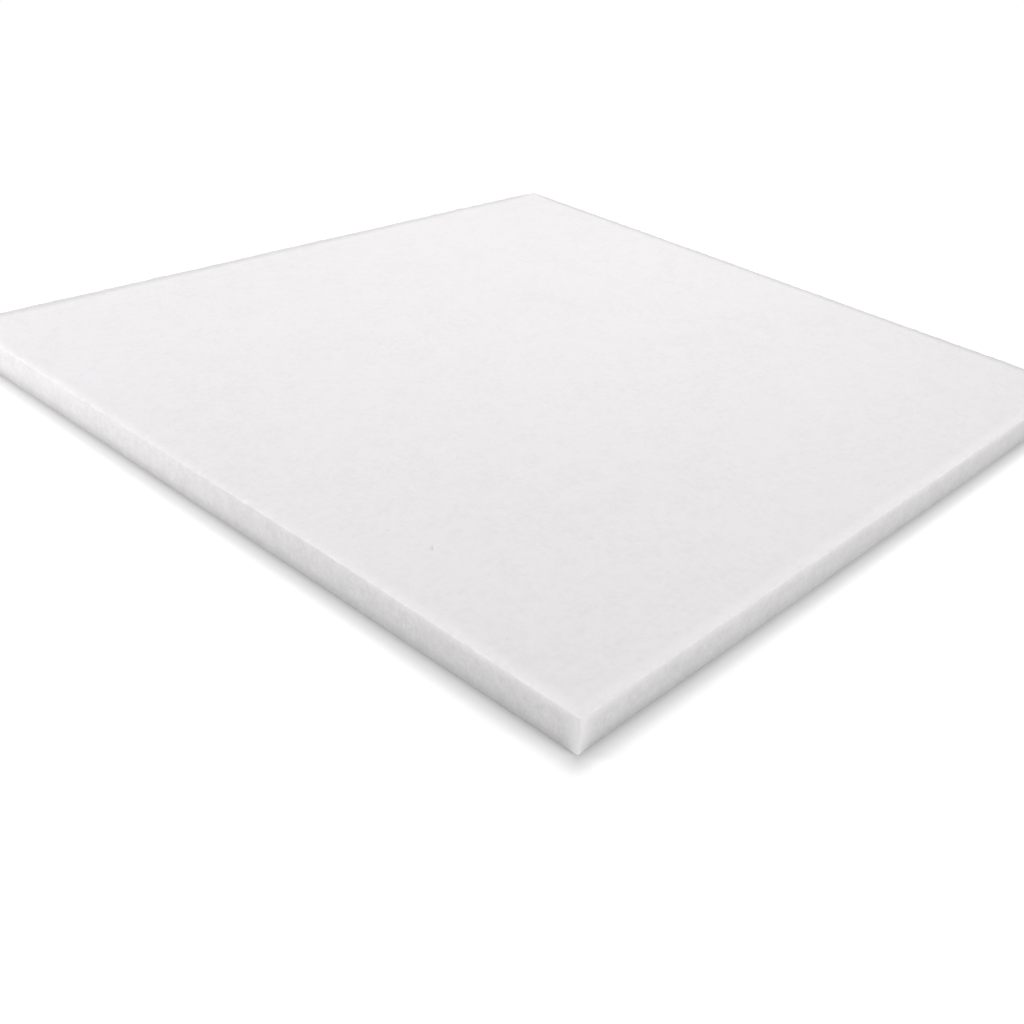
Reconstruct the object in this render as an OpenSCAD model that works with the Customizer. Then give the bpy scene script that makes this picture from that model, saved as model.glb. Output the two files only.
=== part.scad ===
// Foam block: one flat slab of fine-celled flexible foam, cut square and left bare.
// All sizes are in millimetres. The origin is the middle of the underside and +Z is up.

/* [Slab] */
// Length of the slab, along X
slab_length = 610; // [150:5:1200]
// Width of the slab, along Y
slab_width = 610; // [150:5:1200]
// Thickness of the slab
slab_thickness = 25; // [8:1:120]

/* [Corners] */
// Radius in plan of the three crisp upright corners
corner_r = 3.5; // [3:0.5:30]
// Radius in plan of the blunter far corner, at +X and +Y
far_corner_r = 9; // [3:0.5:40]

/* [Rolled edges] */
// Radius that the edge of the top face is rolled to
top_edge_r = 1.6; // [0.4:0.1:2.5]
// Radius that the edge of the underside is rolled to
base_edge_r = 1.5; // [0.4:0.1:2.5]

/* [Look] */
// Colour of the foam
foam_colour = "#ececec"; // ["#ececec", "#f6f4ee", "#5c5f63"]
// Smoothness of the curves
$fn = 96; // [24:8:160]

/* [Hidden] */

half_length = slab_length / 2;
half_width = slab_width / 2;

// Depth of the strip along each side that carries the rolled edges: midway between the roll's
// radius and the smallest corner's, so that neither ever reaches its far side
strip_depth = (max(top_edge_r, base_edge_r) + min(corner_r, far_corner_r)) / 2;

// How far the cutters for the rolled edges run past the slab
overrun = 1;

// Each corner is its direction from the middle and its radius, anticlockwise from above
CORNERS = [
    [[-1, -1], corner_r],
    [[1, -1], corner_r],
    [[1, 1], far_corner_r],
    [[-1, 1], corner_r]
];

// Angle that each corner's arc starts from, and that the side after it faces, in degrees
function arc_start(index) = 180 + 90 * index;
function side_angle(index) = 270 + 90 * index;

// Centre in plan of a corner's arc
function arc_centre(corner) = [
    corner[0].x * (half_length - corner[1]),
    corner[0].y * (half_width - corner[1])
];

// Outline of the flat core at one corner: on one strip, at the arc's centre, on the next strip
function core_points(corner) =
    let (
        centre = arc_centre(corner),
        on_y_side = [corner[0].x * (half_length - strip_depth), centre.y],
        on_x_side = [centre.x, corner[0].y * (half_width - strip_depth)]
    )
    corner[0].x * corner[0].y > 0
        ? [on_y_side, centre, on_x_side]
        : [on_x_side, centre, on_y_side];

// What is cut from a square edge to roll it: the square's outer corner outside the circle
module edge_waste(r) {
    difference() {
        square(r + overrun);
        circle(r = r);
    }
}

// Section through the slab's rim: x runs outwards to depth, and y up through the thickness
module rim_section(depth) {
    difference() {
        square([depth, slab_thickness]);
        translate([depth - top_edge_r, slab_thickness - top_edge_r])
            edge_waste(top_edge_r);
        translate([depth - base_edge_r, base_edge_r])
            mirror([0, 1])
                edge_waste(base_edge_r);
    }
}

// Flat middle of the slab, between the strips and the corners
module core() {
    linear_extrude(slab_thickness)
        polygon([for (corner = CORNERS) each core_points(corner)]);
}

// Rolled rim along one straight side, between the arcs of two corners
module side_strip(from_corner, to_corner, facing) {
    outward = [cos(facing), sin(facing)];
    travel = [-sin(facing), cos(facing)];
    run = (arc_centre(to_corner) - arc_centre(from_corner)) * travel;
    translate(arc_centre(to_corner) + (to_corner[1] - strip_depth) * outward)
        rotate([90, 0, facing])
            linear_extrude(run)
                rim_section(strip_depth);
}

// Rolled rim turned about the centre of one corner's arc
module corner_turn(corner, start) {
    translate(arc_centre(corner))
        rotate([0, 0, start])
            rotate_extrude(angle = 90)
                rim_section(corner[1]);
}

// The whole slab, whose rolled edges run unbroken round its four corners
module foam_block() {
    last = len(CORNERS) - 1;
    color(foam_colour)
        union() {
            core();
            for (index = [0:last]) {
                corner_turn(CORNERS[index], arc_start(index));
                side_strip(CORNERS[index], CORNERS[(index + 1) % len(CORNERS)], side_angle(index));
            }
        }
}

foam_block();
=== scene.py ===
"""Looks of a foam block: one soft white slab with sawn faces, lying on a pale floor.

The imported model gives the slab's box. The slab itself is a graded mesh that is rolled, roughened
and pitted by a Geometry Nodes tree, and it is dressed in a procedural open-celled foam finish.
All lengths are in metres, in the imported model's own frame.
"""

import logging
import math
import random
from dataclasses import dataclass, field
from enum import Enum

import bpy
from mathutils import Matrix, Vector
from mathutils.geometry import delaunay_2d_cdt


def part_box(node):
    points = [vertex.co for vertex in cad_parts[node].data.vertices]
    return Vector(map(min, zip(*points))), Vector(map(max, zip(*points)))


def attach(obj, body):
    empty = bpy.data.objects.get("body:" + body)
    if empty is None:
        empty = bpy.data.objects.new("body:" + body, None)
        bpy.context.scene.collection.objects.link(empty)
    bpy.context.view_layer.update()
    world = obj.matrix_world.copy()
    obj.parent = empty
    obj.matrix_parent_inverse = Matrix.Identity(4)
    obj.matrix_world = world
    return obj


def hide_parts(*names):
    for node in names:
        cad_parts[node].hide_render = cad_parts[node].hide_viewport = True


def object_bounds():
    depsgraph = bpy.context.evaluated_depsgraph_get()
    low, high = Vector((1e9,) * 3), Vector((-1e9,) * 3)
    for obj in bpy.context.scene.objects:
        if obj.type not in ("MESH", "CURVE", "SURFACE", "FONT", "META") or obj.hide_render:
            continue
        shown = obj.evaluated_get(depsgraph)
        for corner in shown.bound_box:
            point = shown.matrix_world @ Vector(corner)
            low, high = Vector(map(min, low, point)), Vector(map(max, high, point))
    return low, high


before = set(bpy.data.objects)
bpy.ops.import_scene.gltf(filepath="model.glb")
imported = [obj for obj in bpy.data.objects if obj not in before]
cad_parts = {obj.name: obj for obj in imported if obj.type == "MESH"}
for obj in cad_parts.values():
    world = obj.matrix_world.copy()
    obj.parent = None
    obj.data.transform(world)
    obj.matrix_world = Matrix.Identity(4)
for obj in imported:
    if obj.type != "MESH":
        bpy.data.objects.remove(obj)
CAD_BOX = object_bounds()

MM = 0.001
LOG = logging.getLogger("foam_block")

Socket = bpy.types.NodeSocket
Pair = tuple[float, float]
Place = tuple[float, float, float]
Colour = tuple[float, float, float]

# The way in which one seed after another moves a noise through space.
SEED_STEP = (1.0, 0.37, -0.61)
# Points nearer to a pit than this many of its radii are dropped, as its own rings take their place.
PIT_CLEARANCE = 2.3
# Squares of this size are what pits are looked up by.
PIT_CELL = 8 * MM
# The triangulation keeps only what is inside the outline, and takes points closer than this as one.
INSIDE_ONLY = 1
MERGE_GAP = 1e-7
# The way along which the one pit that stands out is stretched.
DIAGONAL = Vector((1.0, 1.0)).normalized()


class Corner(Enum):
    """The slab's four upright corners, each as its direction from the middle in plan."""

    NEAR = (-1, -1)
    RIGHT = (1, -1)
    FAR = (1, 1)
    LEFT = (-1, 1)


class Face(Enum):
    """The slab's two broad faces, each as the way its normal points along Z."""

    TOP = 1
    BASE = -1


class Layer(Enum):
    """The noises that shape and colour the foam, each as its own seed."""

    RAGGED = 7.0
    CRUMB = 12.0
    RIPPLE = 18.0
    WANDER = 24.0
    MOTTLE = 2.0
    BLOTCH = 6.0
    CLOUD = 4.0
    NAP = 9.0


class NodeBench:
    """Adds and links the nodes of one shader or geometry tree."""

    def __init__(self, tree: bpy.types.NodeTree) -> None:
        """Takes the tree to work on.

        Args:
            tree: a shader or geometry node tree.
        """
        self.tree = tree

    def add(self, kind: str, inputs: dict | None = None, **settings: object) -> bpy.types.Node:
        """Adds one node and fills its inputs.

        Args:
            kind: the node's type name.
            inputs: input name or index to a socket to link from, or to a value to set.
            settings: properties of the node, such as operation or data_type.

        Returns:
            The new node.
        """
        node = self.tree.nodes.new(kind)
        for name, value in settings.items():
            setattr(node, name, value)
        for key, value in (inputs or {}).items():
            if isinstance(value, Socket):
                self.tree.links.new(value, node.inputs[key])
            else:
                node.inputs[key].default_value = value
        return node

    def math(self, operation: str, *terms: Socket | float, clamp: bool = False) -> Socket:
        """Adds a math node.

        Args:
            operation: the node's operation, such as MULTIPLY.
            terms: its inputs in order, each a socket or a number.
            clamp: True to keep the result between 0 and 1.

        Returns:
            The result's socket.
        """
        inputs = dict(enumerate(terms))
        return self.add("ShaderNodeMath", inputs, operation=operation, use_clamp=clamp).outputs[0]

    def vector(self, operation: str, *terms: Socket | tuple, result: str = "Vector") -> Socket:
        """Adds a vector math node.

        Args:
            operation: the node's operation, such as SCALE.
            terms: its inputs in order, each a socket or a triple.
            result: the name of the output that is wanted.

        Returns:
            That output's socket.
        """
        node = self.add("ShaderNodeVectorMath", dict(enumerate(terms)), operation=operation)
        return node.outputs[result]

    def scaled(self, vector: Socket, factor: Socket | float) -> Socket:
        """Returns a vector times a number."""
        node = self.add("ShaderNodeVectorMath", {0: vector, "Scale": factor}, operation="SCALE")
        return node.outputs["Vector"]

    def fade(
        self, value: Socket, start: Socket | float, end: Socket | float,
        low: float = 0.0, high: float = 1.0, curve: str = "SMOOTHSTEP",
    ) -> Socket:
        """Adds a step from low at start to high at end, and level beyond both.

        Args:
            value: what the step depends on.
            start: where the step begins.
            end: where it ends.
            low: the result up to start.
            high: the result from end on.
            curve: how it goes between them, SMOOTHSTEP or LINEAR.

        Returns:
            The result's socket.
        """
        inputs = {"Value": value, "From Min": start, "From Max": end, "To Min": low, "To Max": high}
        return self.add("ShaderNodeMapRange", inputs, interpolation_type=curve).outputs[0]

    def noise(self, place: Socket, size: Socket | float, layer: Layer, detail: float = 1.0) -> Socket:
        """Adds cloudy noise whose lumps have a given size.

        Args:
            place: where it is read, in metres.
            size: the rough width of a lump, in metres.
            layer: which of the noises it is, as each is read from another place.
            detail: how many finer layers it has.

        Returns:
            The noise, from 0 to 1 with its middle at 0.5.
        """
        scale = self.math("DIVIDE", 1.0, size) if isinstance(size, Socket) else 1.0 / size
        moved = self.vector("ADD", place, tuple(layer.value * step for step in SEED_STEP))
        inputs = {"Vector": moved, "Scale": scale, "Detail": detail}
        return self.add("ShaderNodeTexNoise", inputs).outputs[0]


@dataclass
class SlabBlank:
    """Graded mesh of the slab: fine at the rolled edges and round each pit, coarser on the faces.

    Every vertex carries four numbers: rim, how far in from the outline it lies; edge, how far it
    lies from the edge of the top face; ridge, how far it lies from the nearest upright corner; and
    sink, how far a pit presses it in.

    A pit keeps pit_gap pitches of the top face clear of the next. Each of its rings is given as how
    many radii out it lies, how many points it has, and how many radii they are pressed in. The one
    pit that stands out is longer along the slab's diagonal.
    """

    low: Vector
    high: Vector
    crisp_corner: float
    blunt_corner: float
    top_roll: float
    base_roll: float
    seed: int = 7
    foot_corner: float = 1.8 * MM
    foot_narrowing: float = 0.8
    edge_pitch: float = 1.15 * MM
    wall_pitch: float = 2.4 * MM
    roll_steps: int = 4
    arc_steps: int = 6
    top_pitch: float = 4.2 * MM
    base_pitch: float = 10.0 * MM
    grading: float = 0.12
    top_pits: int = 120
    base_pits: int = 60
    pit_radius: Pair = (0.4 * MM, 0.8 * MM)
    pit_margin: float = 8.0 * MM
    pit_gap: float = 4.0
    pit_rings: tuple[tuple[float, int, float], ...] = (
        (0.0, 1, 0.8), (0.5, 6, 0.6), (0.95, 8, 0.08), (1.7, 10, 0.0),
    )
    pit_unevenness: Pair = (0.85, 1.15)
    marked_pit: Pair = (-254.7 * MM, -145.7 * MM)
    marked_pit_radius: float = 1.6 * MM
    marked_pit_stretch: float = 2.3
    ring_step: float = 0.85
    lattice_gap: float = 0.7
    stagger: float = 0.25
    scatter: float = 0.12
    loop_inset: float = 0.0
    verts: list[tuple[float, float, float]] = field(default_factory=list)
    faces: list[tuple[int, ...]] = field(default_factory=list)
    rim: list[float] = field(default_factory=list)
    edge: list[float] = field(default_factory=list)
    ridge: list[float] = field(default_factory=list)
    sink: list[float] = field(default_factory=list)

    def radius(self, corner: Corner, share: float) -> float:
        """Finds the radius in plan of one upright corner, which is sharper at its foot.

        Args:
            corner: the corner.
            share: how high up the wall it is wanted, from 0 at the foot to 1 at the top.

        Returns:
            The radius.
        """
        upper = self.blunt_corner if corner is Corner.FAR else self.crisp_corner
        return self.foot_corner + (upper - self.foot_corner) * share

    def half(self) -> Vector:
        """Returns half of the slab's length and width."""
        return (self.high - self.low).xy / 2

    def outline(self, share: float) -> list[tuple[Vector, Vector]]:
        """Walks once round the slab in plan, anticlockwise.

        Args:
            share: how high up the wall, from 0 at the foot to 1 at the top.

        Returns:
            Each point of the outline with its outward normal.
        """
        columns: list[tuple[Vector, Vector]] = []
        corners = list(Corner)
        half = self.half()
        for index, corner in enumerate(corners):
            reach = self.radius(corner, share)
            centre = Vector((corner.value[0] * (half.x - reach), corner.value[1] * (half.y - reach)))
            first = math.pi + index * math.pi / 2
            for step in range(self.arc_steps + 1):
                angle = first + step / self.arc_steps * math.pi / 2
                normal = Vector((math.cos(angle), math.sin(angle)))
                columns.append((centre + reach * normal, normal))
            after = corners[(index + 1) % len(corners)]
            onward = self.radius(after, share)
            target = Vector((after.value[0] * (half.x - onward), after.value[1] * (half.y - onward)))
            end = target + onward * normal
            start = columns[-1][0]
            side = half.y if abs(normal.x) > 0.5 else half.x
            count = round(2 * side / self.edge_pitch)
            columns += [(start.lerp(end, step / count), normal) for step in range(1, count)]
        return columns

    def section(self) -> list[tuple[float, float]]:
        """Walks down the rim's section, from the top face over the wall to the underside.

        Returns:
            Each row's distance in from the outline and its height.
        """
        thickness = self.high.z - self.low.z
        turn = [step / self.roll_steps * math.pi / 2 for step in range(self.roll_steps + 1)]
        top = [
            (self.top_roll * (1 - math.sin(a)), thickness - self.top_roll * (1 - math.cos(a)))
            for a in turn
        ]
        wall = thickness - self.top_roll - self.base_roll
        count = round(wall / self.wall_pitch)
        upright = [(0.0, self.base_roll + wall * (1 - step / count)) for step in range(1, count)]
        base = [
            (self.base_roll * (1 - math.cos(a)), self.base_roll * (1 - math.sin(a)))
            for a in turn
        ]
        return top + upright + base

    def add_wall(self) -> tuple[list[int], list[int]]:
        """Builds the rolled rim all round as rows of quads.

        Returns:
            The vertex numbers of the row on the top face and of the row on the underside.
        """
        rows: list[list[int]] = []
        thickness = self.high.z - self.low.z
        for inset, height in self.section():
            start = len(self.verts)
            share = height / thickness
            for point, normal in self.outline(share):
                spot = point - inset * normal
                self.verts.append((spot.x, spot.y, self.low.z + height))
                self.rim.append(inset)
                self.edge.append(abs(inset - (thickness - height)))
                # The ridge number grows towards the foot, so the painted highlight up each upright corner
                # narrows there.
                self.ridge.append(self.corner_gap(point) * (1 + self.foot_narrowing * (1 - share)))
                self.sink.append(0.0)
            rows.append(list(range(start, len(self.verts))))
        total = len(rows[0])
        for upper, lower in zip(rows, rows[1:]):
            for k in range(total):
                after = (k + 1) % total
                self.faces.append((upper[k], lower[k], lower[after], upper[after]))
        return rows[0], rows[-1]

    def corner_gap(self, point: Vector) -> float:
        """Returns how far a point of the outline lies from the nearest upright corner's arc."""
        half = self.half()
        gap = Vector((half.x - abs(point.x), half.y - abs(point.y))).length
        return max(0.0, gap - (math.sqrt(2) - 1) * self.crisp_corner)

    def depth_in(self, point: Pair) -> float:
        """Returns how far a point in plan lies in from the nearest straight side."""
        half = self.half()
        return min(half.x - abs(point[0]), half.y - abs(point[1]))

    def pits(self, face: Face, rng: random.Random) -> list[tuple[Vector, float]]:
        """Chooses where the larger pits of one face lie, clear of each other.

        Args:
            face: the broad face.
            rng: the seeded source of random numbers.

        Returns:
            Each pit's centre in plan and its radius.
        """
        half = self.half()
        found: list[tuple[Vector, float]] = []
        if face is Face.TOP:
            found.append((Vector(self.marked_pit), self.marked_pit_radius))
        wanted = self.top_pits if face is Face.TOP else self.base_pits
        reach = half - Vector((self.pit_margin, self.pit_margin))
        while len(found) < wanted:
            spot = Vector((rng.uniform(-reach.x, reach.x), rng.uniform(-reach.y, reach.y)))
            size = self.pit_radius[0] + (self.pit_radius[1] - self.pit_radius[0]) * rng.random() ** 2
            if all((spot - other).length > self.pit_gap * self.top_pitch for other, _ in found):
                found.append((spot, size))
        return found

    def inner_loops(self, first_inset: float, first_pitch: float, last_pitch: float) -> list[Vector]:
        """Lays rings of points inside the rim, each ring wider spaced than the last.

        Args:
            first_inset: how far in the rim's own last row lies.
            first_pitch: the spacing along that row.
            last_pitch: the spacing at which the rings stop.

        Returns:
            The points in plan.
        """
        half = self.half()
        inset = first_inset
        pitch = first_pitch
        points: list[Vector] = []
        while pitch < last_pitch:
            inset += pitch * self.ring_step
            pitch = first_pitch + self.grading * 2 * (inset - first_inset)
            reach = half - Vector((inset, inset))
            for along, across in ((0, 1), (1, 0)):
                count = max(2, round(2 * reach[along] / pitch))
                for step in range(count):
                    position = -reach[along] + (step + 0.5) * 2 * reach[along] / count
                    for side in (-1, 1):
                        spot = Vector((0.0, 0.0))
                        spot[along] = position
                        spot[across] = side * reach[across]
                        points.append(spot)
        self.loop_inset = inset
        return points

    def lattice(self, pitch: float, rng: random.Random) -> list[Vector]:
        """Fills the middle of a face with staggered points.

        Args:
            pitch: their spacing.
            rng: the seeded source of random numbers, for a slight scatter.

        Returns:
            The points in plan.
        """
        reach = self.half() - Vector((1, 1)) * (self.loop_inset + pitch * self.lattice_gap)
        rows = round(2 * reach.y / (pitch * math.sqrt(3) / 2))
        columns = round(2 * reach.x / pitch)
        spread = self.scatter * pitch
        points: list[Vector] = []
        for row in range(rows + 1):
            shift = self.stagger if row % 2 else -self.stagger
            for column in range(columns + 1):
                x = -reach.x + (column + shift) * 2 * reach.x / columns
                y = -reach.y + row * 2 * reach.y / rows
                moved = (x + rng.uniform(-spread, spread), y + rng.uniform(-spread, spread))
                points.append(Vector(moved))
        return points

    def pit_points(
        self, pits: list[tuple[Vector, float]], rng: random.Random,
    ) -> tuple[list[Vector], list[float]]:
        """Lays rings of points round each pit.

        Args:
            pits: each pit's centre in plan and its radius.
            rng: the seeded source of random numbers, for their uneven outlines.

        Returns:
            The points in plan, and how far each is pressed in.
        """
        spots: list[Vector] = []
        sinks: list[float] = []
        for centre, size in pits:
            for share, count, press in self.pit_rings:
                for step in range(count):
                    angle = step / count * math.tau
                    reach = size * share * rng.uniform(*self.pit_unevenness)
                    way = Vector((math.cos(angle), math.sin(angle)))
                    if size == self.marked_pit_radius:
                        way += (self.marked_pit_stretch - 1) * way.dot(DIAGONAL) * DIAGONAL
                    spots.append(centre + reach * way)
                    sinks.append(press * size)
        return spots, sinks

    def add_face(self, face: Face, border: list[int]) -> None:
        """Builds one broad face inside the rim, with rings of points round each pit.

        Args:
            face: the broad face.
            border: the vertex numbers of the rim's row on that face.
        """
        rng = random.Random(self.seed + face.value)
        pitch = self.top_pitch if face is Face.TOP else self.base_pitch
        roll = self.top_roll if face is Face.TOP else self.base_roll
        height = self.high.z if face is Face.TOP else self.low.z
        pits = self.pits(face, rng)
        level = self.inner_loops(roll, self.edge_pitch, pitch) + self.lattice(pitch, rng)
        level = clear_of_pits(level, pits)
        pressed, depths = self.pit_points(pits, rng)
        spots = level + pressed
        sinks = [0.0] * len(level) + depths

        flat = [Vector(self.verts[k][:2]) for k in border] + spots
        ring = list(range(len(border)))
        shape = delaunay_2d_cdt(flat, [], [ring], INSIDE_ONLY, MERGE_GAP)
        triangles = shape[2]
        origins = [sources[0] for sources in shape[3]]
        used = {origins[k] for triangle in triangles for k in triangle}
        numbers = list(border)
        for number, (spot, press) in enumerate(zip(spots, sinks), len(border)):
            numbers.append(len(self.verts))
            if number not in used:
                # The point lies past the blunt corner's arc, where the face has no triangle.
                continue
            inset = self.depth_in((spot.x, spot.y))
            self.verts.append((spot.x, spot.y, height))
            self.rim.append(inset)
            self.edge.append(inset if face is Face.TOP else self.high.x)
            self.ridge.append(self.high.x)
            self.sink.append(press)
        for triangle in triangles:
            corners = [numbers[origins[k]] for k in triangle]
            self.faces.append(tuple(corners if face is Face.TOP else reversed(corners)))

    def build(self, name: str) -> bpy.types.Object:
        """Makes the whole blank.

        Args:
            name: the object's name.

        Returns:
            A mesh object at the origin, closed and with its faces outwards.
        """
        top_row, base_row = self.add_wall()
        self.add_face(Face.TOP, top_row)
        self.add_face(Face.BASE, base_row)
        mesh = bpy.data.meshes.new(name)
        mesh.from_pydata(self.verts, [], self.faces)
        numbers = {"rim": self.rim, "edge": self.edge, "ridge": self.ridge, "sink": self.sink}
        for label, values in numbers.items():
            mesh.attributes.new(label, "FLOAT", "POINT").data.foreach_set("value", values)
        mesh.update()
        slab = bpy.data.objects.new(name, mesh)
        bpy.context.scene.collection.objects.link(slab)
        return slab


def clear_of_pits(spots: list[Vector], pits: list[tuple[Vector, float]]) -> list[Vector]:
    """Drops the points that lie in or close round a pit.

    Args:
        spots: points in plan.
        pits: each pit's centre and radius.

    Returns:
        The points that are left.
    """
    near: dict[tuple[int, int], list[tuple[Vector, float]]] = {}
    for centre, size in pits:
        home = (math.floor(centre.x / PIT_CELL), math.floor(centre.y / PIT_CELL))
        for dx in (-1, 0, 1):
            for dy in (-1, 0, 1):
                near.setdefault((home[0] + dx, home[1] + dy), []).append((centre, size))
    kept: list[Vector] = []
    for spot in spots:
        home = (math.floor(spot.x / PIT_CELL), math.floor(spot.y / PIT_CELL))
        if all((spot - centre).length > PIT_CLEARANCE * size for centre, size in near.get(home, [])):
            kept.append(spot)
    return kept


@dataclass(frozen=True)
class CutFoamForm:
    """How far the cutting and handling of the foam have moved its surface from the true slab."""

    roll_off_width: float = 7.0 * MM
    roll_off_drop: float = 0.15 * MM
    ragged_size: float = 8.0 * MM
    ragged_depth: float = 1.1 * MM
    crumb_size: float = 2.9 * MM
    crumb_depth: float = 1.0 * MM
    ragged_reach: float = 4.5 * MM
    foot_roughness: float = 0.3
    wall_roughness: float = 0.2
    wall_tilt: float = 0.4
    ripple_size: float = 70.0 * MM
    ripple_depth: float = 0.4 * MM
    wander_size: float = 190.0 * MM
    wander_depth: float = 0.5 * MM
    lean_depth: float = 1.1 * MM
    lean_middle: float = -110.0 * MM
    lean_reach: float = 160.0 * MM
    lean_width: float = 40.0 * MM
    cloud_span: Pair = (0.28, 0.72)
    detail: float = 2.0
    below_all: float = -10.0

    def tree(self) -> bpy.types.GeometryNodeTree:
        """Builds the tree that rolls, roughens and pits a blank.

        Returns:
            The node tree, with a named input for each size.
        """
        tree = bpy.data.node_groups.new("cut_foam_form", "GeometryNodeTree")
        tree.interface.new_socket("Geometry", in_out="INPUT", socket_type="NodeSocketGeometry")
        for label in self.inputs():
            tree.interface.new_socket(label, in_out="INPUT", socket_type="NodeSocketFloat")
        tree.interface.new_socket("Foam", in_out="INPUT", socket_type="NodeSocketMaterial")
        tree.interface.new_socket("Geometry", in_out="OUTPUT", socket_type="NodeSocketGeometry")
        bench = NodeBench(tree)
        given = bench.add("NodeGroupInput").outputs
        place = bench.add("GeometryNodeInputPosition").outputs[0]
        normal = bench.add("GeometryNodeInputNormal").outputs[0]
        rim = self.attribute(bench, "rim")
        sink = self.attribute(bench, "sink")
        up = bench.add("ShaderNodeSeparateXYZ", {0: normal}).outputs["Z"]
        height = bench.add("ShaderNodeSeparateXYZ", {0: place}).outputs["Z"]

        upper = bench.fade(height, bench.math("MULTIPLY", given["Thickness"], 0.5), given["Thickness"])
        inward = bench.fade(rim, 0.0, given["Roll-off Width"], 1.0, 0.0)
        drop = bench.math("MULTIPLY", bench.math("MULTIPLY", upper, inward), given["Roll-off Drop"])

        tilt = bench.math("MULTIPLY", up, up)
        on_edge = bench.math("MULTIPLY", tilt, bench.fade(rim, 0.0, given["Ragged Reach"], 1.0, 0.0))
        higher = bench.fade(height, 0.0, given["Thickness"], self.foot_roughness, 1.0)
        on_edge = bench.math("MULTIPLY", on_edge, higher)
        near_foot = bench.fade(
            height, 0.0, given["Ragged Reach"], self.foot_roughness, self.wall_roughness,
        )
        on_wall = bench.math("MULTIPLY", bench.fade(tilt, 0.0, self.wall_tilt, 1.0, 0.0), near_foot)
        rough = bench.math("MAXIMUM", on_edge, on_wall)
        ragged = self.hollows(bench, place, given["Ragged Size"], given["Ragged Depth"], Layer.RAGGED)
        crumbs = self.hollows(bench, place, given["Crumb Size"], given["Crumb Depth"], Layer.CRUMB)
        bitten = bench.math("MULTIPLY", rough, bench.math("ADD", ragged, crumbs))

        ripple = self.hollows(bench, place, given["Ripple Size"], given["Ripple Depth"], Layer.RIPPLE)
        sideways = bench.math("SUBTRACT", 1.0, tilt)
        wander = self.hollows(bench, place, given["Wander Size"], given["Wander Depth"], Layer.WANDER)
        slow = bench.math("ADD", ripple, bench.math("MULTIPLY", sideways, wander))

        pressed = bench.math("ADD", bench.math("ADD", bitten, slow), sink)
        inwards = bench.scaled(normal, bench.math("MULTIPLY", pressed, -1.0))
        lean = self.lean(bench, place, rim, given["Thickness"])
        shift = bench.add("ShaderNodeCombineXYZ", {"X": lean, "Z": bench.math("MULTIPLY", drop, -1.0)})
        moved = bench.vector("ADD", bench.vector("ADD", place, inwards), shift.outputs[0])
        grounded = bench.vector("MAXIMUM", moved, (self.below_all, self.below_all, 0.0))

        shaped = bench.add("GeometryNodeSetPosition", {"Geometry": given["Geometry"], "Position": grounded})
        smooth = bench.add("GeometryNodeSetShadeSmooth", {"Geometry": shaped.outputs[0]})
        real = bench.add("GeometryNodeRealizeInstances", {"Geometry": smooth.outputs[0]})
        dressed = bench.add(
            "GeometryNodeSetMaterial", {"Geometry": real.outputs[0], "Material": given["Foam"]},
        )
        bench.add("NodeGroupOutput", {"Geometry": dressed.outputs[0]})
        return tree

    def lean(self, bench: NodeBench, place: Socket, rim: Socket, thickness: Socket) -> Socket:
        """Finds how far the top of one side wall leans in, along a stretch of its length.

        Args:
            bench: the tree's bench.
            place: the position.
            rim: how far in from the outline each point lies.
            thickness: the slab's thickness.

        Returns:
            The shift along X, which fades out across the top face and down the wall.
        """
        spot = bench.add("ShaderNodeSeparateXYZ", {0: place}).outputs
        off = bench.math("ABSOLUTE", bench.math("SUBTRACT", spot["Y"], self.lean_middle))
        lean = bench.fade(off, 0.0, self.lean_reach, self.lean_depth, 0.0)
        lean = bench.math("MULTIPLY", lean, bench.fade(rim, 0.0, self.lean_width, 1.0, 0.0))
        lean = bench.math("MULTIPLY", lean, bench.fade(spot["Z"], 0.0, thickness, curve="LINEAR"))
        return bench.math("MULTIPLY", lean, bench.fade(spot["X"], -self.lean_reach, 0.0, 1.0, 0.0))

    def inputs(self, thickness: float = 0.0) -> dict[str, float]:
        """Lists the tree's named sizes.

        Args:
            thickness: the slab's thickness.

        Returns:
            Each input's name and value.
        """
        return {
            "Thickness": thickness,
            "Roll-off Width": self.roll_off_width,
            "Roll-off Drop": self.roll_off_drop,
            "Ragged Size": self.ragged_size,
            "Ragged Depth": self.ragged_depth,
            "Ragged Reach": self.ragged_reach,
            "Crumb Size": self.crumb_size,
            "Crumb Depth": self.crumb_depth,
            "Ripple Size": self.ripple_size,
            "Ripple Depth": self.ripple_depth,
            "Wander Size": self.wander_size,
            "Wander Depth": self.wander_depth,
        }

    def attribute(self, bench: NodeBench, name: str) -> Socket:
        """Returns the socket of one of the blank's own numbers."""
        return bench.add("GeometryNodeInputNamedAttribute", {"Name": name}, data_type="FLOAT").outputs[0]

    def hollows(
        self, bench: NodeBench, place: Socket, size: Socket, depth: Socket, layer: Layer,
    ) -> Socket:
        """Adds noise that only ever presses inwards.

        Args:
            bench: the tree's bench.
            place: where the noise is read.
            size: the width of its lumps.
            depth: the deepest that it presses.
            layer: which of the noises it is.

        Returns:
            The depth at each point.
        """
        cloud = bench.noise(place, size, layer, self.detail)
        return bench.math("MULTIPLY", bench.fade(cloud, *self.cloud_span), depth)

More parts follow.
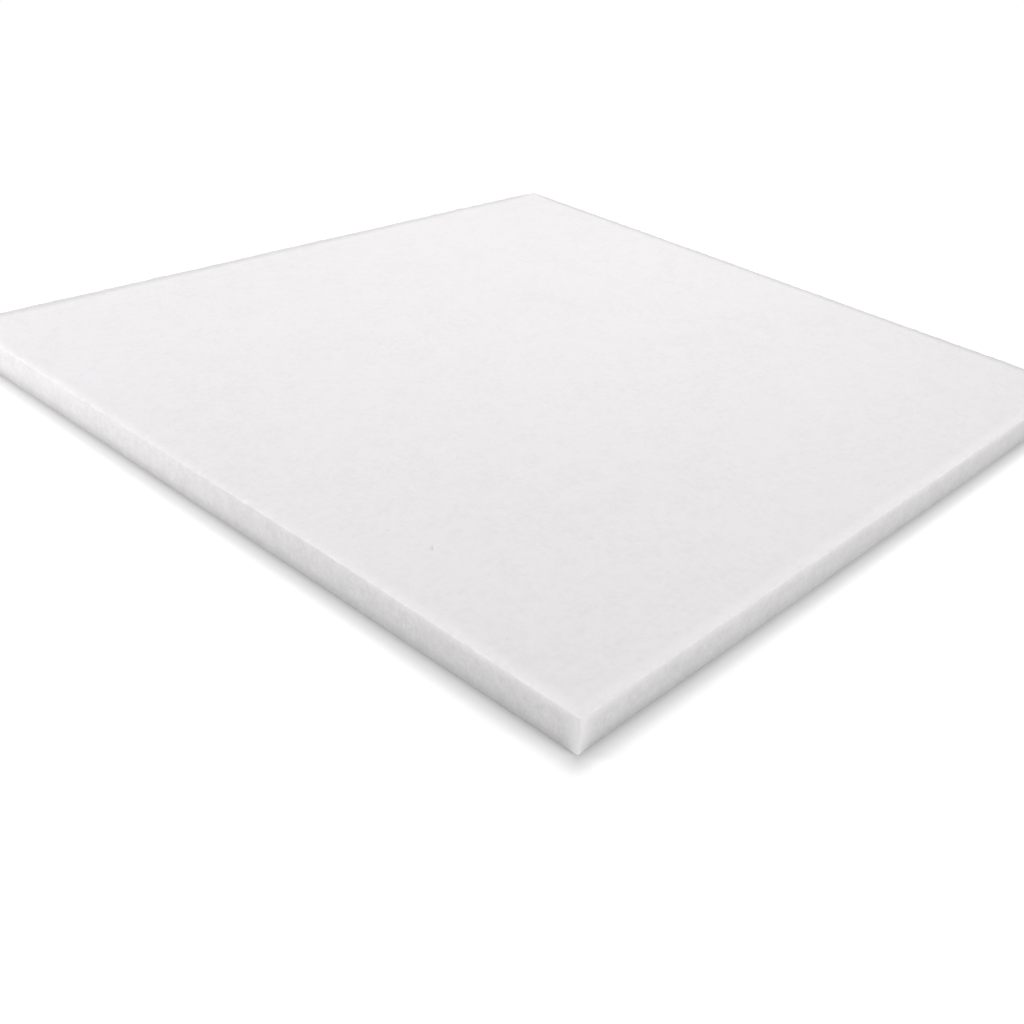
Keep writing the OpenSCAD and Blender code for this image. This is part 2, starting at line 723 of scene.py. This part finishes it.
    def apply(
        self, slab: bpy.types.Object, thickness: float, foam: bpy.types.Material,
    ) -> bpy.types.Object:
        """Runs the tree on a blank and keeps the result as a plain mesh.

        Args:
            slab: the blank.
            thickness: the slab's thickness.
            foam: the finish that the tree sets.

        Returns:
            The slab, with no modifier left on it.
        """
        tree = self.tree()
        modifier = slab.modifiers.new("cut_foam_form", "NODES")
        modifier.node_group = tree
        values = {**self.inputs(thickness), "Foam": foam}
        for item in tree.interface.items_tree:
            if item.in_out == "INPUT" and item.name in values:
                modifier[item.identifier] = values[item.name]
        evaluated = slab.evaluated_get(bpy.context.evaluated_depsgraph_get())
        finished = bpy.data.meshes.new_from_object(evaluated)
        slab.modifiers.remove(modifier)
        blank = slab.data
        slab.data = finished
        bpy.data.meshes.remove(blank)
        return slab


@dataclass(frozen=True)
class FoamFinish:
    """Off-white open-celled flexible foam: dull, slightly see-through at its edges, finely pored.

    A strength with two numbers gives the share of the darker colour on the broad faces and on the
    walls. A field with two lengths says where a change of tone starts and where it ends. Besides the
    grain, the colour holds painted light and shade: painted highlights along the rims and up the
    upright corners, painted glints on a few flecks, and painted shade on the walls, at their foot, on
    the rolled edges, along the two far rims and in the deeper pits.
    """

    colour: Colour = (0.865, 0.843, 0.857)
    # Darker colour of the cell grain, also mixed in for every painted shade below.
    grain_and_shade_colour: Colour = (0.60, 0.60, 0.595)
    # Colour of the painted highlights along the rims and up the upright corners.
    painted_highlight_colour: Colour = (0.96, 0.945, 0.95)
    # Colour of the painted shade at the foot of the walls.
    painted_foot_shade_colour: Colour = (0.40, 0.40, 0.395)
    # Colour of the painted glints on the few bright flecks.
    painted_glint_colour: Colour = (0.93, 0.93, 0.93)

    cell_size: float = 0.9 * MM
    coarse_cell_size: float = 2.1 * MM
    cell_wall: Pair = (0.15, 0.75)
    cell_unevenness: float = 0.9
    bend_size: float = 2.5 * MM
    bend_reach: float = 0.7 * MM
    pore_spacing: float = 5.0 * MM
    pore_radius: float = 0.32
    pore_core: float = 0.15
    pore_chance: Pair = (0.25, 0.6)
    fleck_spacing: float = 9.0 * MM
    fleck_radius: Pair = (0.035, 0.075)
    fleck_chance: Pair = (0.6, 0.7)
    painted_glint_share: float = 0.5
    mottle_size: float = 14.0 * MM
    blotch_size: float = 5.0 * MM
    cloud_size: float = 90.0 * MM
    nap_size: float = 1.8 * MM

    cell_strength: Pair = (0.035, 0.11)
    coarse_strength: Pair = (0.055, 0.14)
    pore_strength: Pair = (0.12, 0.30)
    patch_depths: tuple[float, float, float] = (0.18, 0.26, 0.10)
    wall_patches: float = 1.6
    cell_relief: float = 0.11
    pore_relief: float = 0.30
    nap_relief: float = 0.13
    relief_strength: float = 0.6
    relief_height: float = 1.0 * MM

    wall_level: Pair = (0.85, 0.35)
    # Painted shade on the walls, which fades out towards the back.
    painted_wall_shade: float = 0.20
    roll_level: Pair = (0.99, 0.86)
    # Painted shade, a little darker wherever the surface tilts away from the flat faces.
    painted_roll_shade: float = 0.04
    # Painted shade along the rims of the two far sides, lighter at the blunt corner.
    far_rim: Pair = (4.0 * MM, 14.0 * MM)
    painted_far_rim_shade: float = 0.58
    far_corner: Pair = (7.0 * MM, 30.0 * MM)
    far_corner_share: float = 0.15
    # Painted shade in the deeper pits, growing with how far they are pressed in.
    deep_pit: Pair = (0.5 * MM, 1.3 * MM)
    painted_pit_shade: float = 0.5
    # Where the painted wall shade and the painted rim highlights fade out towards the back.
    wall_back: Pair = (-140.0 * MM, 40.0 * MM)
    rim_back: Pair = (-250.0 * MM, -30.0 * MM)
    # Painted shade down the walls: darker from a little below the top edge towards the bottom.
    slope_reach: Pair = (4.0 * MM, 25.0 * MM)
    painted_wall_drop_shade: float = 0.28
    # Painted shade at the foot of the walls, weaker towards +X and beside the upright corners.
    foot_height: float = 11.0 * MM
    foot_fall: float = 1.5
    foot_shade: float = 0.46
    foot_run: Pair = (-290.0 * MM, -20.0 * MM)
    foot_run_share: float = 0.4
    # Painted highlight along the top of the walls, and on the top face just inside its rim.
    wall_rim: float = 9.5 * MM
    wall_rim_fall: float = 1.3
    painted_wall_rim_highlight: float = 0.58
    face_rim: Pair = (2.5 * MM, 11.0 * MM)
    face_rim_start: float = 0.85
    painted_face_rim_highlight: float = 0.42
    # Painted highlight up the upright corners, narrowing towards the foot.
    ridge_reach: float = 20.0 * MM
    ridge_fall: float = 2.0
    painted_ridge_highlight: float = 0.86

    roughness: Pair = (0.88, 0.96)
    refraction: float = 1.3
    gloss: float = 0.25
    sheen: float = 0.12
    sheen_roughness: float = 0.6
    glow: float = 0.35
    glow_tint: Colour = (1.0, 0.96, 0.92)
    glow_depth: float = 3.0 * MM

    def material(self, half: Vector) -> bpy.types.Material:
        """Builds the finish.

        Args:
            half: half of the slab's length and width.

        Returns:
            A node material that reads Object coordinates and the slab's own attributes.
        """
        foam = bpy.data.materials.new("foam_open_cell")
        foam.use_nodes = True
        foam.diffuse_color = (*self.colour, 1.0)
        foam.node_tree.nodes.clear()
        bench = NodeBench(foam.node_tree)
        place = bench.add("ShaderNodeTexCoord").outputs["Object"]
        bend = bench.add("ShaderNodeTexNoise", {"Vector": place, "Scale": 1 / self.bend_size, "Detail": 0.0})
        bent = bench.vector("ADD", place, bench.scaled(bend.outputs["Color"], self.bend_reach))

        cells = self.cells(bench, bent, self.cell_size)
        coarse = self.cells(bench, bent, self.coarse_cell_size)
        pores, flecks = self.pores(bench, bent)
        mottle = bench.noise(place, self.mottle_size, Layer.MOTTLE)
        blotch = bench.noise(place, self.blotch_size, Layer.BLOTCH)
        cloud = bench.noise(place, self.cloud_size, Layer.CLOUD)

        normal = bench.add("ShaderNodeNewGeometry").outputs["Normal"]
        level = bench.math("ABSOLUTE", bench.add("ShaderNodeSeparateXYZ", {0: normal}).outputs["Z"])
        upright = bench.fade(level, *self.wall_level)
        along_y = bench.add("ShaderNodeSeparateXYZ", {0: place}).outputs["Y"]
        front = bench.fade(along_y, *self.wall_back, 1.0, 0.0)
        # How strong the painted rim highlights are, weaker towards the back.
        rim_highlight_share = bench.fade(along_y, *self.rim_back, 1.0, 0.0)
        # Painted shade along the two far rims of the faces.
        far = self.far_rim_shade_mask(bench, place, half)
        far = bench.math("MULTIPLY", far, bench.math("SUBTRACT", 1.0, upright))

        # The darker share starts with the cell grain; the painted shade is added on below.
        grain_and_shade = self.hollow_share(bench, (cells, coarse, pores), (mottle, blotch, cloud), upright)
        # Painted shade: the walls are darkened, most towards the front.
        wall_shade_share = bench.math("MULTIPLY", bench.math("MULTIPLY", upright, front), self.painted_wall_shade)
        grain_and_shade = bench.math("ADD", grain_and_shade, wall_shade_share)
        # Painted shade on the rolled edges and walls, by how far they tilt.
        grain_and_shade = bench.math("ADD", grain_and_shade, bench.fade(level, *self.roll_level, 0.0, self.painted_roll_shade))
        # Painted shade inside the deeper pits.
        sink = bench.add("ShaderNodeAttribute", attribute_name="sink").outputs["Fac"]
        grain_and_shade = bench.math("ADD", grain_and_shade, bench.fade(sink, *self.deep_pit, 0.0, self.painted_pit_shade))
        # Painted shade along the two far rims.
        grain_and_shade = bench.math("ADD", grain_and_shade, bench.math("MULTIPLY", far, self.painted_far_rim_shade))
        body = self.paint_edge_light_and_shade(bench, place, grain_and_shade, (upright, far, rim_highlight_share))
        # Painted glints: the few flecks are lightened.
        shade = self.blend(bench, bench.math("MULTIPLY", flecks, self.painted_glint_share), body, self.painted_glint_colour)

        smoother, rougher = self.roughness
        spread = bench.math("MULTIPLY", mottle, rougher - smoother)
        bsdf = bench.add("ShaderNodeBsdfPrincipled", {
            "Base Color": shade,
            "Roughness": bench.math("ADD", smoother, spread, clamp=True),
            "Normal": self.relief(bench, place, coarse, pores),
            "IOR": self.refraction,
            "Specular IOR Level": self.gloss,
            "Sheen Weight": self.sheen,
            "Sheen Roughness": self.sheen_roughness,
            "Subsurface Weight": self.glow,
            "Subsurface Radius": self.glow_tint,
            "Subsurface Scale": self.glow_depth,
        })
        bsdf.subsurface_method = "BURLEY"
        bench.add("ShaderNodeOutputMaterial", {"Surface": bsdf.outputs[0]})
        return foam

    def cells(self, bench: NodeBench, place: Socket, size: float) -> Socket:
        """Adds a layer of foam cells.

        Args:
            bench: the material's bench.
            place: where the cells are read.
            size: the width of a cell.

        Returns:
            How deep in a cell a point is, from 0 on the struts to 1 in its middle.
        """
        inputs = {"Vector": place, "Scale": 1 / size, "Randomness": self.cell_unevenness}
        cells = bench.add("ShaderNodeTexVoronoi", inputs)
        return bench.fade(cells.outputs["Distance"], *self.cell_wall, 1.0, 0.0)

    def pores(self, bench: NodeBench, place: Socket) -> tuple[Socket, Socket]:
        """Adds the scattered larger pores, and the few bright flecks, painted glints where cell skin would
        catch the light.

        Args:
            bench: the material's bench.
            place: where they are read.

        Returns:
            How deep in a pore a point is, and how much of a fleck it holds, each from 0 to 1.
        """
        spots = bench.add("ShaderNodeTexVoronoi", {"Vector": place, "Scale": 1 / self.pore_spacing})
        chance = bench.add("ShaderNodeSeparateColor", {0: spots.outputs["Color"]}).outputs
        reach = bench.math("MULTIPLY", chance[0], self.pore_radius)
        core = bench.math("MULTIPLY", reach, self.pore_core)
        pore = bench.fade(spots.outputs["Distance"], core, reach, 1.0, 0.0)
        pore = bench.math("MULTIPLY", pore, bench.fade(chance[1], *self.pore_chance))

        marks = bench.add("ShaderNodeTexVoronoi", {"Vector": place, "Scale": 1 / self.fleck_spacing})
        luck = bench.add("ShaderNodeSeparateColor", {0: marks.outputs["Color"]}).outputs
        fleck = bench.fade(marks.outputs["Distance"], *self.fleck_radius, 1.0, 0.0)
        return pore, bench.math("MULTIPLY", fleck, bench.fade(luck[1], *self.fleck_chance))

    def far_rim_shade_mask(self, bench: NodeBench, place: Socket, half: Vector) -> Socket:
        """Finds how close a point lies to the slab's two far sides, whose rims get painted shade.

        Args:
            bench: the material's bench.
            place: the Object coordinates.
            half: half of the slab's length and width.

        Returns:
            1 along those sides, less at the blunt corner between them, and 0 further in.
        """
        spot = bench.add("ShaderNodeSeparateXYZ", {0: place}).outputs
        gap_x = bench.math("SUBTRACT", half.x, spot["X"])
        gap_y = bench.math("SUBTRACT", half.y, spot["Y"])
        beside = bench.fade(bench.math("MINIMUM", gap_x, gap_y), *self.far_rim, 1.0, 0.0)
        past = bench.math("MAXIMUM", gap_x, gap_y)
        past = bench.fade(past, *self.far_corner, self.far_corner_share, 1.0)
        return bench.math("MULTIPLY", beside, past)

    def hollow_share(
        self, bench: NodeBench, holes: tuple[Socket, Socket, Socket],
        patches: tuple[Socket, Socket, Socket], upright: Socket,
    ) -> Socket:
        """Weighs how dark the foam is at a point, from all its layers.

        Args:
            bench: the material's bench.
            holes: the fine cells, the coarse cells and the scattered pores.
            patches: the uneven patches, the small blotches and the slow change across the slab.
            upright: 1 on the walls and 0 on the broad faces.

        Returns:
            The share of the darker colour, which may fall below 0.
        """
        total = 0.0
        for hole, strength in zip(holes, (self.cell_strength, self.coarse_strength, self.pore_strength)):
            share = bench.math("MULTIPLY", hole, bench.fade(upright, 0.0, 1.0, *strength))
            total = bench.math("ADD", total, share)
        marked = bench.fade(upright, 0.0, 1.0, 1.0, self.wall_patches)
        for cloud, depth in zip(patches, self.patch_depths):
            patch = bench.math("MULTIPLY", bench.math("SUBTRACT", cloud, 0.5), depth)
            total = bench.math("ADD", total, bench.math("MULTIPLY", patch, marked))
        return total

    def paint_edge_light_and_shade(
        self, bench: NodeBench, place: Socket, grain_and_shade: Socket, shares: tuple[Socket, Socket, Socket],
    ) -> Socket:
        """Colours the foam with painted light and shade: painted highlights along its rims and up its
        upright corners, painted shade down its walls and at its foot.

        Args:
            bench: the material's bench.
            place: the Object coordinates.
            grain_and_shade: the share of the darker colour from the foam's grain and the painted shade so
                far.
            shares: three numbers from 0 to 1. The first is 1 on the walls, the second is 1 along
            the faces' rims by the two far sides, which get painted shade and no painted highlight, and
            the third says how strong the painted highlight is on any other rim.

        Returns:
            The colour.
        """
        upright, far, rim_highlight_share = shares
        edge = bench.add("ShaderNodeAttribute", attribute_name="edge").outputs["Fac"]
        ridge = bench.add("ShaderNodeAttribute", attribute_name="ridge").outputs["Fac"]
        spot = bench.add("ShaderNodeSeparateXYZ", {0: place}).outputs

        # Painted shade, darker down the walls away from the top edge.
        slope = bench.math("MULTIPLY", bench.fade(edge, *self.slope_reach), upright)
        grain_and_shade = bench.math("ADD", grain_and_shade, bench.math("MULTIPLY", slope, self.painted_wall_drop_shade), clamp=True)
        body = self.blend(bench, grain_and_shade, self.colour, self.grain_and_shade_colour)

        # Painted highlight up the upright corners; the painted foot shade is kept off them.
        beside = bench.fade(ridge, 0.0, self.ridge_reach, 1.0, 0.0, "LINEAR")
        beside = bench.math("POWER", beside, self.ridge_fall)
        # Painted shade at the foot of the walls, weaker towards +X and near the upright corners.
        foot = bench.math("POWER", bench.fade(spot["Z"], 0.0, self.foot_height, 1.0, 0.0), self.foot_fall)
        foot = bench.math("MULTIPLY", foot, bench.fade(spot["X"], *self.foot_run, 1.0, self.foot_run_share))
        foot = bench.math("MULTIPLY", foot, bench.math("SUBTRACT", 1.0, beside))
        body = self.blend(bench, bench.math("MULTIPLY", foot, self.foot_shade), body, self.painted_foot_shade_colour)

        # Painted highlight along the top of the walls and just inside the top face's rim, weaker towards the
        # back.
        on_wall = bench.math("POWER", bench.fade(edge, 0.0, self.wall_rim, 1.0, 0.0), self.wall_rim_fall)
        on_wall = bench.math("MULTIPLY", on_wall, self.painted_wall_rim_highlight)
        peak, end = self.face_rim
        rise = bench.fade(edge, 0.0, peak, self.face_rim_start, 1.0)
        on_face = bench.math("MULTIPLY", rise, bench.fade(edge, peak, end, 1.0, 0.0))
        on_face = bench.math("MULTIPLY", on_face, self.painted_face_rim_highlight)
        level = bench.math("SUBTRACT", 1.0, bench.math("MAXIMUM", upright, far))
        on_wall = bench.math("MULTIPLY", on_wall, upright)
        along = bench.math("ADD", on_wall, bench.math("MULTIPLY", on_face, level))
        along = bench.math("MULTIPLY", along, rim_highlight_share)
        beside = bench.math("MULTIPLY", bench.math("MULTIPLY", beside, upright), self.painted_ridge_highlight)
        return self.blend(bench, bench.math("MAXIMUM", along, beside), body, self.painted_highlight_colour)

    def blend(self, bench: NodeBench, share: Socket, first: Socket | Colour, second: Colour) -> Socket:
        """Mixes two colours.

        Args:
            bench: the material's bench.
            share: how much of the second colour.
            first: the colour at 0, as a socket or a triple.
            second: the colour at 1.

        Returns:
            The mixed colour.
        """
        start = first if isinstance(first, Socket) else (*first, 1.0)
        # A mix node's numbers, vectors and colours share their names, so its colours go by number.
        inputs = {0: share, 6: start, 7: (*second, 1.0)}
        return bench.add("ShaderNodeMix", inputs, data_type="RGBA").outputs[2]

    def relief(self, bench: NodeBench, place: Socket, coarse: Socket, pores: Socket) -> Socket:
        """Adds the relief of the coarse cells, the pores and the nap.

        Args:
            bench: the material's bench.
            place: where the nap is read.
            coarse: the coarse cells.
            pores: the scattered pores.

        Returns:
            The bumped normal.
        """
        nap = bench.math("MULTIPLY", bench.noise(place, self.nap_size, Layer.NAP), self.nap_relief)
        lumps = bench.math("MULTIPLY", coarse, -self.cell_relief)
        pits = bench.math("MULTIPLY", pores, -self.pore_relief)
        height = bench.math("ADD", bench.math("ADD", lumps, pits), nap)
        inputs = {"Strength": self.relief_strength, "Distance": self.relief_height, "Height": height}
        return bench.add("ShaderNodeBump", inputs).outputs["Normal"]


@dataclass
class FoamSlab:
    """The slab: its sizes, its mesh and its finish."""

    node: str = "foam_block"
    body: str = "root"
    slot: str = "foam"
    crisp_corner: float = 3.5 * MM
    blunt_corner: float = 9.0 * MM
    top_roll: float = 1.6 * MM
    base_roll: float = 1.5 * MM
    form: CutFoamForm = CutFoamForm()
    finish: FoamFinish = FoamFinish()

    def build(self) -> bpy.types.Object:
        """Returns:
            The finished mesh object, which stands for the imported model's plain solid.
        """
        low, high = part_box(self.node)
        blank = SlabBlank(
            low, high, self.crisp_corner, self.blunt_corner, self.top_roll, self.base_roll,
        )
        foam = self.finish.material(blank.half())
        slab = self.form.apply(blank.build("foam_slab"), high.z - low.z, foam)
        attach(slab, self.body)
        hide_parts(self.node)
        return slab


@dataclass(frozen=True)
class Studio:
    """The pale floor and the plain soft light."""

    floor_size: float = 14.0
    floor_drop: float = 0.1 * MM
    floor_colour: float = 0.78
    floor_lift: float = 0.2
    clean_floor: Pair = (0.40, 0.75)
    contact_reach: float = 12.0 * MM
    contact_fall: float = 1.5
    contact_shade: float = 0.36
    sky: float = 0.42
    key_watts: float = 7.3
    key_size: float = 0.6
    key_place: Place = (0.45, 0.3, 1.2)
    front_watts: float = 26.8
    front_size: float = 2.0
    front_place: Place = (0.0, -3.0, 1.2)
    side_watts: float = 7.7
    side_size: float = 0.5
    side_place: Place = (-1.1, 0.9, 0.35)
    fill_watts: float = 28.0
    fill_size: float = 3.5
    fill_place: Place = (-3.0, -3.0, 2.6)

    def build(self, half: Vector) -> None:
        """Makes the floor, the world and the lamps.

        Args:
            half: half of the slab's length and width.
        """
        self.floor(half)
        self.world()
        self.lamp("key_softbox", self.key_place, self.key_size, self.key_watts)
        self.lamp("front_softbox", self.front_place, self.front_size, self.front_watts)
        self.lamp("side_softbox", self.side_place, self.side_size, self.side_watts)
        self.lamp("fill_softbox", self.fill_place, self.fill_size, self.fill_watts)

    def floor(self, half: Vector) -> bpy.types.Object:
        """Makes the floor, which keeps the slab's shadow and turns plain white further out.

        Args:
            half: half of the slab's length and width.

        Returns:
            The floor's object.
        """
        side = self.floor_size / 2
        mesh = bpy.data.meshes.new("floor")
        low = -self.floor_drop
        corners = [(-side, -side, low), (side, -side, low), (side, side, low), (-side, side, low)]
        mesh.from_pydata(corners, [], [(0, 1, 2, 3)])
        floor = bpy.data.objects.new("floor", mesh)
        bpy.context.scene.collection.objects.link(floor)
        paint = bpy.data.materials.new("floor_white")
        paint.use_nodes = True
        paint.node_tree.nodes.clear()
        bench = NodeBench(paint.node_tree)
        place = bench.add("ShaderNodeTexCoord").outputs["Object"]
        away = bench.vector("LENGTH", place, result="Value")
        far = bench.fade(away, *self.clean_floor)
        grey = (self.floor_colour, self.floor_colour, self.floor_colour, 1.0)
        matt = bench.add("ShaderNodeBsdfDiffuse", {"Color": grey})
        shade = self.contact(bench, place, half)
        paper = bench.add("ShaderNodeBsdfDiffuse", {"Color": shade})
        lift = bench.add("ShaderNodeEmission", {"Strength": bench.math("MULTIPLY", shade, self.floor_lift)})
        bright = bench.add("ShaderNodeAddShader", {0: paper.outputs[0], 1: lift.outputs[0]})
        white = bench.add("ShaderNodeEmission", {"Strength": 1.0})
        shown = bench.add("ShaderNodeMixShader", {0: far, 1: bright.outputs[0], 2: white.outputs[0]})
        both = bench.add(
            "ShaderNodeMixShader", {0: seen_directly(bench), 1: matt.outputs[0], 2: shown.outputs[0]},
        )
        bench.add("ShaderNodeOutputMaterial", {"Surface": both.outputs[0]})
        mesh.materials.append(paint)
        return floor

    def contact(self, bench: NodeBench, place: Socket, half: Vector) -> Socket:
        """Darkens the floor close round the slab, where the foam shades it.

        Args:
            bench: the floor material's bench.
            place: the Object coordinates.
            half: half of the slab's length and width.

        Returns:
            The floor's shade, from dark at the slab to 1 further out.
        """
        outside = bench.vector("SUBTRACT", bench.vector("ABSOLUTE", place), (half.x, half.y, 0.0))
        gap = bench.vector("LENGTH", bench.vector("MAXIMUM", outside, (0.0, 0.0, 0.0)), result="Value")
        near = bench.fade(gap, 0.0, self.contact_reach, 1.0, 0.0, "LINEAR")
        near = bench.math("POWER", near, self.contact_fall)
        return bench.math("SUBTRACT", 1.0, bench.math("MULTIPLY", near, self.contact_shade))

    def world(self) -> None:
        """Makes a world that is white to look at and lights the slab evenly from above."""
        world = bpy.data.worlds.new("studio")
        bpy.context.scene.world = world
        world.use_nodes = True
        world.node_tree.nodes.clear()
        bench = NodeBench(world.node_tree)
        sky = bench.add("ShaderNodeBackground", {"Color": (1, 1, 1, 1), "Strength": self.sky})
        white = bench.add("ShaderNodeBackground", {"Color": (1, 1, 1, 1), "Strength": 1.0})
        both = bench.add(
            "ShaderNodeMixShader", {0: seen_directly(bench), 1: sky.outputs[0], 2: white.outputs[0]},
        )
        bench.add("ShaderNodeOutputWorld", {"Surface": both.outputs[0]})

    def lamp(self, name: str, place: Place, size: float, watts: float) -> None:
        """Adds a square soft lamp that faces the slab's middle.

        Args:
            name: the lamp's name.
            place: where it hangs.
            size: the side of its square.
            watts: its power.
        """
        light = bpy.data.lights.new(name, "AREA")
        light.size = size
        light.energy = watts
        lamp = bpy.data.objects.new(name, light)
        lamp.location = place
        lamp.rotation_euler = Vector(place).to_track_quat("Z", "Y").to_euler()
        bpy.context.scene.collection.objects.link(lamp)


def seen_directly(bench: NodeBench) -> Socket:
    """Returns 1 for rays from the camera, off a gloss or through glass, and 0 for the rest."""
    path = bench.add("ShaderNodeLightPath").outputs
    glossy = bench.math("MAXIMUM", path["Is Camera Ray"], path["Is Glossy Ray"])
    return bench.math("MAXIMUM", glossy, path["Is Transmission Ray"])


@dataclass(frozen=True)
class PhotoCamera:
    """The camera, where the photograph was taken from: near the front corner, held slightly askew.

    The middle of the photograph lies to one side of the lens's own, so the lens is shifted sideways.
    """

    place: Place = (-0.67724, -0.59052, 0.41636)
    aim: Place = (-0.13931, -0.19247, 0.025)
    roll: float = math.radians(6.7157)
    lens_mm: float = 44.057
    sensor_mm: float = 36.0
    sideways: float = -0.1084
    nearest: float = 0.01
    furthest: float = 50.0

    def build(self) -> bpy.types.Object:
        """Makes the scene's camera.

        Returns:
            The camera's object.
        """
        data = bpy.data.cameras.new("photo_camera")
        data.lens = self.lens_mm
        data.sensor_width = self.sensor_mm
        data.shift_x = self.sideways
        data.clip_start = self.nearest
        data.clip_end = self.furthest
        camera = bpy.data.objects.new("photo_camera", data)
        look = (Vector(self.aim) - Vector(self.place)).to_track_quat("-Z", "Y").to_matrix()
        turned = (look @ Matrix.Rotation(self.roll, 3, "Z")).to_4x4()
        camera.matrix_world = Matrix.Translation(self.place) @ turned
        bpy.context.scene.collection.objects.link(camera)
        bpy.context.scene.camera = camera
        return camera


def main() -> None:
    """Builds the camera, the slab and the studio, and notes the sizes."""
    logging.basicConfig(level=logging.INFO, format="%(name)s: %(message)s")
    bpy.context.scene.view_settings.view_transform = "Standard"
    PhotoCamera().build()
    slab = FoamSlab().build()
    triangles = sum(len(face.vertices) - 2 for face in slab.data.polygons)
    LOG.info("%s: %d vertices, %d triangles", slab.name, len(slab.data.vertices), triangles)
    Studio().build((CAD_BOX[1] - CAD_BOX[0]).xy / 2)
    LOG.info("studio: floor, world and four lamps")


if __name__ == "__main__":
    main()
